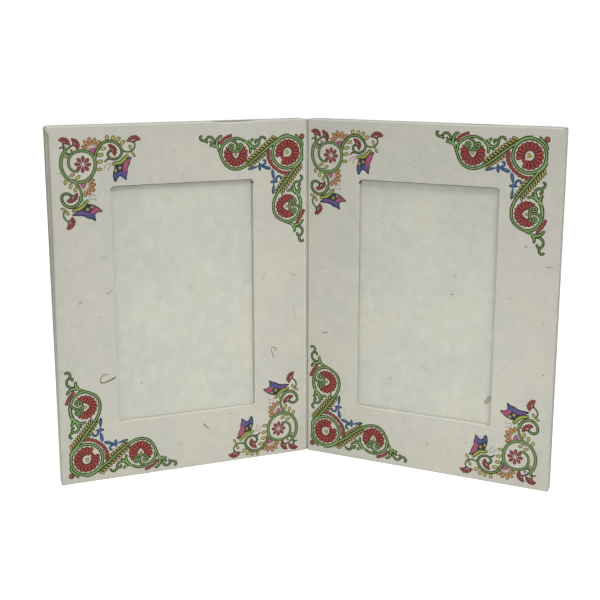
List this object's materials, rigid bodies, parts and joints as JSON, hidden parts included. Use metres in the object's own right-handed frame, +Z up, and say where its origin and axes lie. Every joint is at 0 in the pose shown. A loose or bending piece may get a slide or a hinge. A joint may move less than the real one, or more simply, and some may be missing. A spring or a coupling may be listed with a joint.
{
  "type": "hinged double photo frame",
  "caption": "Standing double photo frame of two paper-covered boards that fold on a paper hinge, each with a window and a photo slot open at the top.",
  "frame": {"origin": "on the ground, under the middle of the open frame's bounding box", "axes": "+Z up along the hinge line, -Y towards the viewer in front of the windows, +X to the viewer's right"},
  "size_m": [0.2964, 0.0713, 0.216],
  "materials": {
    "printed_paper": "matt handmade paper with a printed ornament in each corner",
    "plain_paper": "matt handmade paper with plant fibres",
    "board": "grey pressed board",
    "card": "cut card"
  },
  "bodies": {
    "left_leaf": {"left_front_cover": "printed_paper", "left_front_board": "board", "left_outer_spacer": "card", "left_hinge_spacer": "card", "left_bottom_spacer": "card", "left_lining_paper": "plain_paper", "left_back_board": "board", "left_back_cover": "plain_paper", "left_hinge_strip": "plain_paper"},
    "right_leaf": {"right_front_cover": "printed_paper", "right_front_board": "board", "right_outer_spacer": "card", "right_hinge_spacer": "card", "right_bottom_spacer": "card", "right_lining_paper": "plain_paper", "right_back_board": "board", "right_back_cover": "plain_paper", "right_hinge_strip": "plain_paper"}
  },
  "joints": [
    {"name": "leaf_fold", "type": "hinge", "parent": "left_leaf", "child": "right_leaf", "pos_m": [0, 0.03073, 0.108], "axis": [0, 0, 1], "range_deg": [-130.6, 49]}
  ]
}
